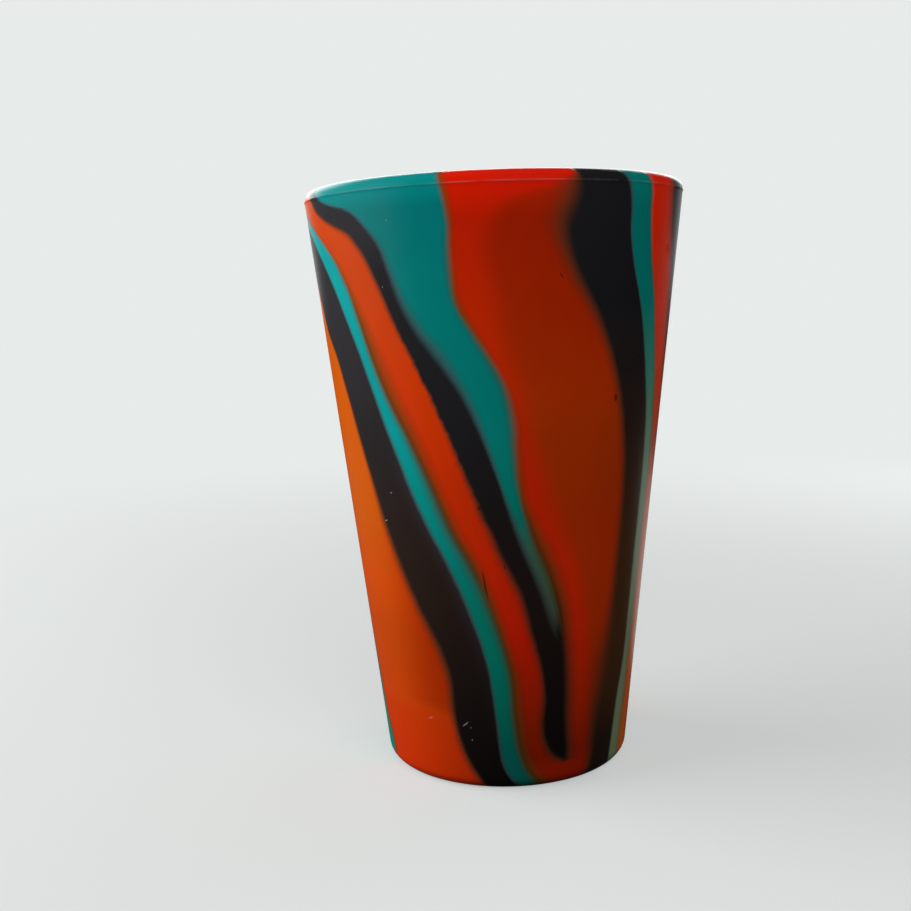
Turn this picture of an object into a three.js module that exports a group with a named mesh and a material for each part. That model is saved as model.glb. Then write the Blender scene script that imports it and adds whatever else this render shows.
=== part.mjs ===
// Marbled silicone pint cup, as the set of coloured bands that it is moulded from.
// Strips of orange, black and teal silicone rubber are laid side by side in the mould and cured
// together, so each band is a piece of its own: it holds its share of the lip, the wall and the base,
// and its edge laps over the band on its left along a slanted seam.
// Millimetres, +Z up. The origin is the middle of the foot, on the table, and -Y is the front.

import * as THREE from "three";
import { mergeVertices } from "three/addons/utils/BufferGeometryUtils.js";

// Driving dimensions
const HEIGHT = 146; // table to the crown of the lip
const RIM_DIAMETER = 95; // outside of the straight wall, carried up to the crown's height
const FOOT_DIAMETER = 62; // outside of the straight wall, carried down to the table
const WALL = 4.8; // square to the wall; the lip is a half round of this thickness
const FLOOR = 6; // table to the inside of the base
const FOOT_ROUNDING = 3.5; // outside radius between the wall and the foot
const FLOOR_FILLET = 5; // inside radius between the wall and the floor
const FOOT_RING_WIDTH = 4.5; // flat ring that the cup stands on
const RECESS_DEPTH = 0.8; // hollow in the underside, inside the foot ring
const RECESS_SLOPE = 1.2; // width of the slope from the foot ring up into the recess
const SEAM_LEAN = 5; // degrees round the cup that a seam shifts from the outside to the inside

// How finely the bands are faceted
const LIP_STEPS = 3;
const WALL_STEPS = 24;
const WALL_CROWDING = 0.4; // draws the wall's steps towards the rim and the foot, where seams bend most
const ROUNDING_STEPS = 3;
const RECESS_STEPS = 5;
const COLUMN_ANGLE = 12; // degrees of a band that one column of facets spans at most

// Colours of the three silicone compounds
const SILICONE = {
  orange: { color: 0xd2480f, roughness: 0.42 },
  black: { color: 0x1f1d1f, roughness: 0.4 },
  teal: { color: 0x008a84, roughness: 0.42 },
};

// The bands in their order round the cup, to the right seen from the front. Each states the path of its
// left seam on the outside as points [level, angle]. Level counts down in hundredths of the cup's height:
// it is 100 at the rim and 0 at the table, and goes on below 0 at the same rate along the underside, to about
// -19 in the middle. The angle is in degrees, 0 at the front and growing to the right. closes is the level
// where the seam runs into the one before it, so that the band before it ends in a tip there.
const BANDS = [
  {
    name: "orange_band_1",
    path: [[100, -140], [90, -131], [80, -123], [68, -114], [55, -104], [42, -94], [30, -84], [20, -77],
      [10, -73], [0, -71]],
    closes: -8,
  },
  {
    name: "black_band_1",
    path: [[100, -112], [88, -85], [80, -73], [76.5, -70], [73, -65], [67, -60], [59, -55], [52.5, -51],
      [44, -46], [37.5, -40.5], [31, -34], [24.5, -26.5], [20, -23.2], [16, -22.8], [12, -22.3],
      [6.5, -19], [4, -16], [1.5, -12], [0, -9.5], [-5.5, 0], [-11, 11], [-19, 25]],
  },
  {
    name: "teal_band_1",
    path: [[100, -98], [95.5, -82], [91, -70], [88.5, -65], [84.5, -59], [79, -53.5], [73.5, -49],
      [67.5, -44.5], [60.5, -39.5], [54, -34], [45.5, -26], [38.5, -18.5], [31, -12], [26, -8.5],
      [20.5, -6], [17, -5], [10.5, -3.5], [7, -2.7], [4.5, -1.4], [2.5, 1.2], [1, 4.5], [0, 7.5],
      [-5, 13.5]],
    closes: -11.5,
  },
  {
    name: "orange_band_2",
    path: [[100, -88], [97, -80], [94.5, -72], [92, -64], [88.5, -56], [84, -50.5], [79, -47],
      [72.5, -43], [66, -38], [60, -32], [53, -25.5], [44, -17.8], [38, -11], [31, -5], [23.5, 0],
      [20.5, 1.5], [13.5, 2.7], [10.5, 3.5], [7, 5], [4, 7.5], [1, 13], [0, 15.5]],
    closes: -7,
  },
  {
    name: "black_band_2",
    path: [[100, -70], [98, -67], [95.5, -62.5], [93.5, -54.5], [92, -47], [90, -43], [84, -36.5],
      [78, -31.7], [72, -26], [63.5, -19], [58, -14.5], [51.5, -9.5], [46, -4.8], [40.5, 0], [34, 6.8],
      [27.5, 10.6], [21, 14.5], [16.5, 15.5], [10.5, 14.5], [8, 16], [6, 18.5], [4.8, 22], [4, 26.5],
      [2, 28.5], [0, 30], [-9, 42], [-19, 55]],
  },
  {
    name: "teal_band_2",
    path: [[100, -63], [98, -60.5], [96.7, -55], [96, -48], [94.8, -42.8], [93, -39.3], [90.5, -35.2],
      [85.5, -31.5], [80, -28], [75, -22.5], [70, -15], [67, -11], [60, -5], [54, -1], [48, 3],
      [41.5, 8], [35, 14], [28, 19.5], [24.5, 23], [22, 23.7], [19, 24.5], [11, 25.5], [6, 26.7]],
    closes: 4,
  },
  {
    name: "orange_band_3",
    path: [[100, -14.5], [97, -13.2], [93, -12.2], [88, -12.5], [83.5, -12.2], [80.5, -11.3],
      [76.5, -7.3], [72.5, -2.6], [68, 2], [63, 4.5], [57.5, 5.2], [53, 5.7], [48, 7.5], [42, 11.5],
      [36, 17], [30, 21]],
    closes: 24.5,
  },
  {
    name: "black_band_3",
    path: [[100, 22], [98.5, 24], [96.5, 24.8], [94, 23.4], [91.5, 21.5], [89, 22], [84, 25.6],
      [79.5, 31], [74.5, 36], [69, 40.5], [63.5, 44], [57, 46.7], [49.5, 48.2], [43, 48.2], [33, 47.7],
      [24, 47], [17, 45], [10, 42], [3.5, 40], [0, 38.5], [-9, 50], [-19, 75]],
  },
  {
    name: "teal_band_3",
    path: [[100, 37], [98, 40], [95, 41.5], [91, 42], [85.5, 45], [80, 49], [74.5, 52.5], [68, 56],
      [62.5, 58.7], [57.5, 60], [49.5, 60.6], [38.5, 60], [28, 59.7], [19, 59], [13, 56.5], [7, 55],
      [0, 54], [-6, 58]],
    closes: -13,
  },
  {
    name: "orange_band_4",
    path: [[100, 47.5], [97.5, 50], [94, 50.5], [87, 53], [80.5, 57], [74.5, 60], [68.5, 63],
      [62.5, 65], [52, 66], [42.5, 65], [31, 64.5], [18, 63.5], [7.5, 61.5], [0, 60.5]],
    closes: -8.5,
  },
  {
    name: "black_band_4",
    path: [[100, 63], [98, 63.5], [91.5, 65.5], [85.5, 69.5], [79.5, 72], [68.5, 76], [55, 79],
      [34, 81], [14, 80], [0, 80], [-9, 96], [-19, 130]],
  },
  {
    name: "teal_band_4",
    path: [[100, 82], [92, 84], [82, 86], [70, 89], [55, 92], [40, 95], [25, 97], [10, 98], [0, 99]],
    closes: -13.5,
  },
  {
    name: "orange_band_5",
    path: [[100, 97], [90, 97], [80, 98], [68, 101], [55, 106], [42, 110], [28, 112], [14, 112],
      [0, 113]],
    closes: -7,
  },
  {
    name: "black_band_5",
    path: [[100, 124], [92, 126], [82, 127], [70, 128], [58, 131], [45, 137], [32, 145], [18, 149],
      [8, 150], [0, 151], [-9, 163], [-19, 185]],
  },
  {
    name: "teal_band_5",
    path: [[100, 141], [93, 145], [84, 149], [72, 151], [60, 153], [48, 158], [36, 166], [24, 173],
      [12, 176], [0, 178]],
    closes: -11,
  },
  {
    name: "orange_band_6",
    path: [[100, 158], [92, 161], [84, 163], [74, 164], [62, 166], [50, 171], [38, 178], [28, 180.5]],
    closes: 15,
  },
  {
    name: "black_band_6",
    path: [[100, 180], [92, 184], [82, 190], [70, 198], [58, 205], [46, 212], [34, 220], [22, 227],
      [10, 231], [0, 233], [-9, 247], [-19, 270]],
  },
  {
    name: "teal_band_6",
    path: [[100, 195], [92, 200], [82, 207], [70, 215], [58, 223], [46, 231], [34, 241], [22, 251],
      [10, 256], [0, 259]],
    closes: -12,
  },
];

const FULL_TURN = 360;
const QUARTER_TURN = Math.PI / 2;
const lean = Math.atan2((RIM_DIAMETER - FOOT_DIAMETER) / 2, HEIGHT); // of the wall from upright
const wallRadius = (z) => FOOT_DIAMETER / 2 + z * Math.tan(lean); // of the outside

// Points [radius, z] along an arc, from one angle to another, without the first.
function arc(centre, radius, from, to, steps) {
  return Array.from({ length: steps }, (_, i) => {
    const a = THREE.MathUtils.lerp(from, to, (i + 1) / steps);
    return [centre[0] + radius * Math.cos(a), centre[1] + radius * Math.sin(a)];
  });
}

// Points along a straight stretch, without the first, spaced by an easing of 0 to 1.
function straight(from, to, steps, easing = (u) => u) {
  return Array.from({ length: steps }, (_, i) => {
    const u = easing((i + 1) / steps);
    return [THREE.MathUtils.lerp(from[0], to[0], u), THREE.MathUtils.lerp(from[1], to[1], u)];
  });
}

const crowdEnds = (u) => u - (WALL_CROWDING * Math.sin(2 * Math.PI * u)) / (2 * Math.PI);

// The cup's section, as points [radius, z] down the outside and down the inside from the crown of the lip
// to the axis. The two lists match point by point, so that a seam can cross the wall between them.
function section() {
  const half = WALL / 2;
  const lipCentre = [wallRadius(HEIGHT - half) - half / Math.cos(lean), HEIGHT - half];
  const crown = [lipCentre[0], HEIGHT];
  const outerLip = arc(lipCentre, half, QUARTER_TURN, -lean, LIP_STEPS);
  const innerLip = arc(lipCentre, half, QUARTER_TURN, Math.PI - lean, LIP_STEPS);

  const footCentre = [wallRadius(FOOT_ROUNDING) - FOOT_ROUNDING / Math.cos(lean), FOOT_ROUNDING];
  const footTop = [
    footCentre[0] + FOOT_ROUNDING * Math.cos(lean),
    footCentre[1] - FOOT_ROUNDING * Math.sin(lean),
  ];
  const filletHeight = FLOOR + FLOOR_FILLET;
  const filletCentre = [wallRadius(filletHeight) - (WALL + FLOOR_FILLET) / Math.cos(lean), filletHeight];
  const filletTop = [
    filletCentre[0] + FLOOR_FILLET * Math.cos(lean),
    filletCentre[1] - FLOOR_FILLET * Math.sin(lean),
  ];

  const standing = [footCentre[0], 0]; // outer edge of the foot ring
  const ringInside = [standing[0] - FOOT_RING_WIDTH, 0];
  const recessEdge = [ringInside[0] - RECESS_SLOPE, RECESS_DEPTH];
  const floorEdge = [filletCentre[0], FLOOR];
  const floorAt = (point) => [(floorEdge[0] * point[0]) / standing[0], FLOOR];

  const outer = [
    crown,
    ...outerLip,
    ...straight(outerLip.at(-1), footTop, WALL_STEPS, crowdEnds),
    ...arc(footCentre, FOOT_ROUNDING, -lean, -QUARTER_TURN, ROUNDING_STEPS),
    ringInside,
    recessEdge,
    ...straight(recessEdge, [0, RECESS_DEPTH], RECESS_STEPS),
  ];
  const inner = [
    crown,
    ...innerLip,
    ...straight(innerLip.at(-1), filletTop, WALL_STEPS, crowdEnds),
    ...arc(filletCentre, FLOOR_FILLET, -lean, -QUARTER_TURN, ROUNDING_STEPS),
    floorAt(ringInside),
    floorAt(recessEdge),
    ...straight(floorAt(recessEdge), [0, FLOOR], RECESS_STEPS),
  ];
  const upright = LIP_STEPS + WALL_STEPS + ROUNDING_STEPS;
  const levels = outer.map(([r, z], k) => (100 * (k < upright ? z : r - standing[0])) / HEIGHT);
  return { outer, inner, levels };
}

const { outer, inner, levels } = section();

// A smooth curve through the points of a path, read at a level.
function alongPath(path, level) {
  const last = path.length - 1;
  const slope = (i) => (path[i + 1][1] - path[i][1]) / (path[i + 1][0] - path[i][0]);
  const tangent = (i) => {
    if (i === 0) return slope(0);
    if (i === last) return slope(last - 1);
    const before = path[i][0] - path[i - 1][0];
    const after = path[i + 1][0] - path[i][0];
    return (slope(i - 1) * after + slope(i) * before) / (before + after);
  };
  let i = 0;
  while (i < last - 1 && level < path[i + 1][0]) i++;
  const span = path[i + 1][0] - path[i][0];
  const u = (level - path[i][0]) / span;
  const rise = path[i + 1][1] - path[i][1];
  const bend = u * u * (3 - 2 * u);
  return (
    path[i][1] + rise * bend + span * u * (1 - u) * (tangent(i) * (1 - u) - tangent(i + 1) * u)
  );
}

// Index of the station whose level is nearest to the one given.
const stationAt = (level) =>
  levels.reduce((best, l, i) => (Math.abs(l - level) < Math.abs(levels[best] - level) ? i : best), 0);

// The angle of every seam at every station. A seam that closes the band before it follows that band's own
// left seam from there on. The first seam is worked out last, one turn on, because it closes the last band.
function seamAngles() {
  const turned = BANDS[0].path.map(([level, angle]) => [level, angle + FULL_TURN]);
  const seams = [...BANDS.slice(1), { ...BANDS[0], path: turned }];
  const rows = [];
  for (const { path, closes } of seams) {
    const before = rows.at(-1);
    if (closes === undefined) {
      rows.push(levels.map((level) => alongPath(path, level)));
      continue;
    }
    const tip = stationAt(closes);
    const joined = [...path, [levels[tip], before[tip]]];
    rows.push(levels.map((level, k) => (k < tip ? alongPath(joined, level) : before[k])));
  }
  const first = rows.at(-1).map((angle) => angle - FULL_TURN);
  return [first, ...rows];
}

const seams = seamAngles();

// A point of the section turned round the axis to an angle in degrees from the front.
function onCup([radius, z], angle) {
  const a = THREE.MathUtils.degToRad(angle);
  return new THREE.Vector3(radius * Math.sin(a), -radius * Math.cos(a), z);
}

// A seam's shift between the outside and the inside grows over the lip, from none at the crown.
const leanAt = (station) => SEAM_LEAN * Math.min(1, station / LIP_STEPS);

// The closed skin of one band, between its left and right seams.
function bandGeometry(left, right) {
  const width = left.map((angle, k) => right[k] - angle);
  const tip = width.findIndex((w) => w <= 0);
  const end = tip < 0 ? levels.length - 1 : tip;
  const columns = Math.max(1, Math.ceil(Math.max(...width) / COLUMN_ANGLE));
  const angleAt = (k, j) => THREE.MathUtils.lerp(left[k], right[k], j / columns);
  const outside = (k, j) => onCup(outer[k], angleAt(k, j));
  const inside = (k, j) => onCup(inner[k], angleAt(k, j) + leanAt(k));

  const corners = [];
  const triangle = (...points) => {
    const [a, b, c] = points;
    if (a.distanceTo(b) && b.distanceTo(c) && c.distanceTo(a)) corners.push(...points);
  };
  // Four corners, anticlockwise from outside the band, split along the shorter diagonal.
  const facet = (a, b, c, d) => {
    const acrossAC = a.distanceTo(c) < b.distanceTo(d);
    triangle(a, b, acrossAC ? c : d);
    triangle(acrossAC ? a : b, c, d);
  };
  for (let k = 0; k < end; k++) {
    for (let j = 0; j < columns; j++) {
      facet(outside(k, j), outside(k + 1, j), outside(k + 1, j + 1), outside(k, j + 1));
      facet(inside(k, j), inside(k, j + 1), inside(k + 1, j + 1), inside(k + 1, j));
    }
    facet(outside(k, 0), inside(k, 0), inside(k + 1, 0), outside(k + 1, 0));
    facet(outside(k, columns), outside(k + 1, columns), inside(k + 1, columns), inside(k, columns));
  }
  return mergeVertices(new THREE.BufferGeometry().setFromPoints(corners));
}

// One named band, in the colour that its name starts with.
function makeBand({ name }, i) {
  const silicone = SILICONE[name.split("_")[0]];
  const material = new THREE.MeshStandardMaterial({ ...silicone, metalness: 0 });
  const band = new THREE.Mesh(bandGeometry(seams[i], seams[i + 1]), material);
  band.name = name;
  return band;
}

const cup = new THREE.Group();
cup.name = "marbled_silicone_cup";
cup.add(...BANDS.map(makeBand));

export default cup;
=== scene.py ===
import math

import bmesh
import bpy
import numpy as np
from bpy.props import FloatProperty, FloatVectorProperty, PointerProperty
from mathutils import Matrix, Vector


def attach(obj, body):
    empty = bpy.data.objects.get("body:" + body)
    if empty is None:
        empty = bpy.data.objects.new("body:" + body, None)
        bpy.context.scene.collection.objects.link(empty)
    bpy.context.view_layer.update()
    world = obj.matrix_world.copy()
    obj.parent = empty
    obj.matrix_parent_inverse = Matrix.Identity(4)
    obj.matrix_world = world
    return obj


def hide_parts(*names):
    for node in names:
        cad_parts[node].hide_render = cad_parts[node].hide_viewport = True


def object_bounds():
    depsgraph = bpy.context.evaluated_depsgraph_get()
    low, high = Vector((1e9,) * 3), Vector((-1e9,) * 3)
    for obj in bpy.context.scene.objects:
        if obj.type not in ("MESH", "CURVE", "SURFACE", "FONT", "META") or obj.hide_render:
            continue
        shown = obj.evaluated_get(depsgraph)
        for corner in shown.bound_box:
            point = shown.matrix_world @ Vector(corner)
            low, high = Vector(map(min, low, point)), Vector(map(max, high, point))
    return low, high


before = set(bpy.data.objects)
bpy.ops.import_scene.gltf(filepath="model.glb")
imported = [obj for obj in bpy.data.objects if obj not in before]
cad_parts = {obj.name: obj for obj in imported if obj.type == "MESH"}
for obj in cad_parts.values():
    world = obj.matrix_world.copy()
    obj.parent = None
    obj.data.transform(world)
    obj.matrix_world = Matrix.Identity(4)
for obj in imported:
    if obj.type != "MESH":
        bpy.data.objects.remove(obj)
CAD_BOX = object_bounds()

bl_info = {
    "name": "Marbled silicone cup",
    "version": (1, 0, 0),
    "blender": (4, 5, 0),
    "location": "View3D > Sidebar > Cup",
    "description": "Wraps the swirled silicone bands of a drinking cup over its CAD frame and sets its stage",
    "category": "Object",
}

# The bands in their order round the cup. Each has the path of its left seam on the outside, as points of
# level and angle: level is 100 at the rim and 0 at the table, and goes on below 0 at the same rate along the
# underside; the angle is in degrees, 0 at the front and growing to the right. closes is the level where the
# seam runs into the one before it, so that the band before it ends in a tip.
BANDS = [
    {
        "node": "orange_band_1",
        "path": [(100, -140), (90, -131), (80, -123), (68, -114), (55, -104), (42, -94), (30, -84),
                 (20, -77), (10, -73), (0, -71)],
        "closes": -8,
    },
    {
        "node": "black_band_1",
        "path": [(100, -112), (88, -85), (80, -73), (76.5, -70), (73, -65), (67, -60), (59, -55),
                 (52.5, -51), (44, -46), (37.5, -40.5), (31, -34), (24.5, -26.5), (20, -23.2),
                 (16, -22.8), (12, -22.3), (6.5, -19), (4, -16), (1.5, -12), (0, -9.5), (-5.5, 0),
                 (-11, 11), (-19, 25)],
    },
    {
        "node": "teal_band_1",
        "path": [(100, -98), (95.5, -82), (91, -70), (88.5, -65), (84.5, -59), (79, -53.5), (73.5, -49),
                 (67.5, -44.5), (60.5, -39.5), (54, -34), (45.5, -26), (38.5, -18.5), (31, -12),
                 (26, -8.5), (20.5, -6), (17, -5), (10.5, -3.5), (7, -2.7), (4.5, -1.4), (2.5, 1.2),
                 (1, 4.5), (0, 7.5), (-5, 13.5)],
        "closes": -11.5,
    },
    {
        "node": "orange_band_2",
        "path": [(100, -88), (97, -80), (94.5, -72), (92, -64), (88.5, -56), (84, -50.5), (79, -47),
                 (72.5, -43), (66, -38), (60, -32), (53, -25.5), (44, -17.8), (38, -11), (31, -5),
                 (23.5, 0), (20.5, 1.5), (13.5, 2.7), (10.5, 3.5), (7, 5), (4, 7.5), (1, 13), (0, 15.5)],
        "closes": -7,
    },
    {
        "node": "black_band_2",
        "path": [(100, -70), (98, -67), (95.5, -62.5), (93.5, -54.5), (92, -47), (90, -43), (84, -36.5),
                 (78, -31.7), (72, -26), (63.5, -19), (58, -14.5), (51.5, -9.5), (46, -4.8), (40.5, 0),
                 (34, 6.8), (27.5, 10.6), (21, 14.5), (16.5, 15.5), (10.5, 14.5), (8, 16), (6, 18.5),
                 (4.8, 22), (4, 26.5), (2, 28.5), (0, 30), (-9, 42), (-19, 55)],
    },
    {
        "node": "teal_band_2",
        "path": [(100, -63), (98, -60.5), (96.7, -55), (96, -48), (94.8, -42.8), (93, -39.3),
                 (90.5, -35.2), (85.5, -31.5), (80, -28), (75, -22.5), (70, -15), (67, -11), (60, -5),
                 (54, -1), (48, 3), (41.5, 8), (35, 14), (28, 19.5), (24.5, 23), (22, 23.7), (19, 24.5),
                 (11, 25.5), (6, 26.7)],
        "closes": 4,
    },
    {
        "node": "orange_band_3",
        "path": [(100, -14.5), (97, -13.2), (93, -12.2), (88, -12.5), (83.5, -12.2), (80.5, -11.3),
                 (76.5, -7.3), (72.5, -2.6), (68, 2), (63, 4.5), (57.5, 5.2), (53, 5.7), (48, 7.5),
                 (42, 11.5), (36, 17), (30, 21)],
        "closes": 24.5,
    },
    {
        "node": "black_band_3",
        "path": [(100, 22), (98.5, 24), (96.5, 24.8), (94, 23.4), (91.5, 21.5), (89, 22), (84, 25.6),
                 (79.5, 31), (74.5, 36), (69, 40.5), (63.5, 44), (57, 46.7), (49.5, 48.2), (43, 48.2),
                 (33, 47.7), (24, 47), (17, 45), (10, 42), (3.5, 40), (0, 38.5), (-9, 50), (-19, 75)],
    },
    {
        "node": "teal_band_3",
        "path": [(100, 37), (98, 40), (95, 41.5), (91, 42), (85.5, 45), (80, 49), (74.5, 52.5), (68, 56),
                 (62.5, 58.7), (57.5, 60), (49.5, 60.6), (38.5, 60), (28, 59.7), (19, 59), (13, 56.5),
                 (7, 55), (0, 54), (-6, 58)],
        "closes": -13,
    },
    {
        "node": "orange_band_4",
        "path": [(100, 47.5), (97.5, 50), (94, 50.5), (87, 53), (80.5, 57), (74.5, 60), (68.5, 63),
                 (62.5, 65), (52, 66), (42.5, 65), (31, 64.5), (18, 63.5), (7.5, 61.5), (0, 60.5)],
        "closes": -8.5,
    },
    {
        "node": "black_band_4",
        "path": [(100, 63), (98, 63.5), (91.5, 65.5), (85.5, 69.5), (79.5, 72), (68.5, 76), (55, 79),
                 (34, 81), (14, 80), (0, 80), (-9, 96), (-19, 130)],
    },
    {
        "node": "teal_band_4",
        "path": [(100, 82), (92, 84), (82, 86), (70, 89), (55, 92), (40, 95), (25, 97), (10, 98), (0, 99)],
        "closes": -13.5,
    },
    {
        "node": "orange_band_5",
        "path": [(100, 97), (90, 97), (80, 98), (68, 101), (55, 106), (42, 110), (28, 112), (14, 112),
                 (0, 113)],
        "closes": -7,
    },
    {
        "node": "black_band_5",
        "path": [(100, 124), (92, 126), (82, 127), (70, 128), (58, 131), (45, 137), (32, 145), (18, 149),
                 (8, 150), (0, 151), (-9, 163), (-19, 185)],
    },
    {
        "node": "teal_band_5",
        "path": [(100, 141), (93, 145), (84, 149), (72, 151), (60, 153), (48, 158), (36, 166), (24, 173),
                 (12, 176), (0, 178)],
        "closes": -11,
    },
    {
        "node": "orange_band_6",
        "path": [(100, 158), (92, 161), (84, 163), (74, 164), (62, 166), (50, 171), (38, 178),
                 (28, 180.5)],
        "closes": 15,
    },
    {
        "node": "black_band_6",
        "path": [(100, 180), (92, 184), (82, 190), (70, 198), (58, 205), (46, 212), (34, 220), (22, 227),
                 (10, 231), (0, 233), (-9, 247), (-19, 270)],
    },
    {
        "node": "teal_band_6",
        "path": [(100, 195), (92, 200), (82, 207), (70, 215), (58, 223), (46, 231), (34, 241), (22, 251),
                 (10, 256), (0, 259)],
        "closes": -12,
    },
]

NODES = [band["node"] for band in BANDS]

# Fineness of the skin: stations on each part of the section, and degrees that a column of faces spans.
LIP_STEPS, WALL_STEPS, LINE_STEPS, ROUND_STEPS, BASE_STEPS, SLOPE_STEPS = 11, 120, 9, 9, 28, 7
COLUMN = 1.25
CREASE = math.radians(40)  # Corners sharper than this stay sharp
WELD = 2e-6  # Points nearer than this, in metres, are one
CLOSED = 1e-9  # Seams nearer than this, in degrees, have run together
NO_WIDTH = 1e-6  # A band narrower than this, in millimetres, has ended
SEAM_STEPS, SEAM_REACH = 1500, 12  # Points along a seam, and millimetres of it that a point measures from

# How an orange or teal compound fades out at the two edges of its band, as points of level, start and end.
# The fade runs from none of the compound to all of it, in millimetres inside the edge, so a start below 0 is
# on the band beside it. FADES holds the edges that change along their length, and FADE all the others.
FADE = {
    ("orange", "left"): [(100, -0.6, 2.6)],
    ("orange", "right"): [(100, -0.4, 0.8)],
    ("teal", "left"): [(100, -0.6, 1.2)],
    ("teal", "right"): [(100, -1, 1)],
}
FADES = {
    ("orange_band_1", "right"): [
        (74, -0.5, 1), (54, -0.7, 1.2), (45, -1.4, 1.9), (22, -1.3, 2.7), (12, -1, 1.8),
    ],
    ("teal_band_1", "left"): [
        (82, -0.5, 1), (74, -0.2, 1.4), (58, -0.5, 1.6), (50, -1.2, 1), (30, -1.2, 0.8), (20, -0.6, 0.6),
        (6, -0.8, 0.9),
    ],
    ("teal_band_1", "right"): [
        (90, -0.7, 1.4), (72, -1, 1.3), (62, -1.2, 1.7), (50, -1.4, 2.7), (34, -1.5, 2.6), (22, -1, 1.8),
        (6, -0.9, 1.6),
    ],
    ("orange_band_2", "left"): [
        (100, -1, 0.9), (90, -1.1, 1.3), (82, -0.9, 3.1), (74, -1.2, 6), (67, -1.2, 6.4), (54, -0.4, 4.4),
        (40, -0.2, 4.1), (26, -0.3, 3.3), (10, -0.8, 4.1),
    ],
    ("orange_band_2", "right"): [
        (97, -0.7, 0.7), (90, -0.9, 1.4), (68, -0.4, 1), (52, -0.6, 1.6), (38, -0.9, 2.6),
        (30, -0.8, 2.6), (20, -0.7, 1.7), (12, -1.3, 1.6),
    ],
    ("teal_band_2", "left"): [
        (95, -0.6, 0.8), (82, -1.1, 2.7), (74, -1.1, 4), (66, -1.4, 2.2), (52, -0.6, 0.9),
        (44, -1.2, 1.8), (28, -1.5, 2.7),
    ],
    ("teal_band_2", "right"): [
        (97, -0.5, 1.4), (92, -0.8, 1.5), (86, -1.3, 2.2), (79, -0.6, 1.5), (70, -1.2, 2.4),
        (60, -1.4, 2.8), (50, -0.7, 1.2), (40, -1.2, 1.7), (30, -0.7, 1),
    ],
    ("orange_band_3", "left"): [
        (97, -1.3, 2.4), (90, -1, 1.8), (80, -0.8, 2.1), (70, -0.8, 1.5), (62, -1.4, 2.3),
        (50, -0.8, 2.6), (42, -0.7, 5.6), (32, -0.5, 5.3), (10, -0.9, 3.4),
    ],
    ("orange_band_3", "right"): [
        (99.3, -0.6, 0.9), (97, -0.8, 9.4), (94, -0.9, 8.8), (86, -0.8, 5.1), (78, -0.7, 3.7),
        (70, -0.9, 3), (50, -1.2, 2.5), (32, -1.5, 3.3), (20, -2.2, 6.8), (12, -1.3, 4.8), (5, -1.3, 3),
    ],
    ("teal_band_3", "left"): [
        (97, -0.6, 1.6), (92, -0.3, 0.9), (86, -0.7, 0.5), (78, -0.4, 0.8), (30, -0.4, 0.9),
    ],
    ("teal_band_3", "right"): [
        (97, -1.6, 1.2), (85, -1.1, 1.4), (62, -1.6, 1.8), (52, -2.5, 1.2), (30, -3, 1),
    ],
    ("orange_band_4", "left"): [(85, -0.4, 1), (65, -0.9, 2), (50, -0.4, 3), (10, 0, 3.2)],
    ("orange_band_4", "right"): [(100, -2.4, 3.8)],
}
OVERRUN = 2  # How far past a fade's start and end its share goes on, in widths of the fade
TAIL = 3.0  # Width in millimetres below which a tapering band fades away
# How far such an edge wavers, in millimetres, as points of level and width, where it is ragged.
RAGGED = {("orange_band_2", "right"): [(80, 0.2), (72, 1.1), (47, 1.1), (40, 0.3)]}
SMOOTH = [(100, 0.25)]
# How far an orange band leans from orange to red-orange, or below 0 to yellow, as points of level and share.
# This is partly the compound's own hue and partly painted light and shade: redder where a band lies in
# shade, yellower on orange_band_1 where the key light falls, and yellower low on orange_band_4 as a painted
# reflection at the right edge.
REDNESS = {
    "orange_band_1": [(46, -0.4), (34, 0), (26, 0), (13.8, 0.2), (12.2, 0.4), (0, 0.6)],
    "orange_band_2": [(100, 0.1), (80, 0.25), (72, 0.38), (50, 0.64), (27, 0.89), (10, 0.62), (0, 0.7)],
    "orange_band_3": [(100, 1), (90, 0.82), (78, 0.7), (50, 0.78), (25, 0.78), (8, 0.62), (0, 0.75)],
    "orange_band_4": [(100, 0.9), (72, 0.7), (50, 0.1), (30, -0.25), (0, -0.45)],
    "orange_band_5": [(100, 0.3), (0, 0.7)],
    "orange_band_6": [(100, 0.5), (0, 0.8)],
}
# How far the thin part of an orange band leans from thin orange to thin red, in the same way.
THIN_REDNESS = {"orange_band_3": [(94, 0.9), (78, 0.45), (70, 0.1), (62, -0.4), (52, -0.3), (46, 0)]}
# How far a teal band leans from teal to deep teal, and on to olive, as points of level and share. The olive
# low on teal_band_3, by the right edge, is partly teal thin over orange and partly a painted pale reflection.
DEPTH = {
    "teal_band_1": [(60, 0.07), (53, 0.27), (44, 0.32), (30, 0.75), (14, 0.72), (6, 0.56)],
    "teal_band_2": [(94, 0.12), (84, 0.26), (66, 0.32), (42, 0.66), (36, 0.9)],
    "teal_band_3": [(98, 0.4), (82, 0.4), (76, 0.6), (62, 0.8)],
    "teal_band_4": [(100, 0.2), (0, 0.5)],
    "teal_band_5": [(100, 0.1), (0, 0.6)],
    "teal_band_6": [(100, 0.2), (0, 0.6)],
}
OLIVENESS = {
    "teal_band_2": [(46, 0), (42, 0.2), (28, 0.8)],
    "teal_band_3": [(80, 0), (70, 0.15), (60, 0.5), (30, 1)],
}
# How far a black band leans to brown, as points of level and share: partly where orange shows through it, and
# low on black_band_3, where it goes furthest, a painted warm reflection.
WARMTH = {
    "black_band_1": [(80, 0.005), (60, 0.02), (40, 0.12), (30, 0.14), (0, 0.05)],
    "black_band_2": [(60, 0.006), (50, 0.03), (30, 0.12), (0, 0.07)],
    "black_band_3": [(80, 0), (70, 0.06), (60, 0.23), (40, 0.85), (25, 1), (15, 0.8), (7, 0.3), (0, 0.2)],
}
NONE = [(100, 0)]
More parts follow.
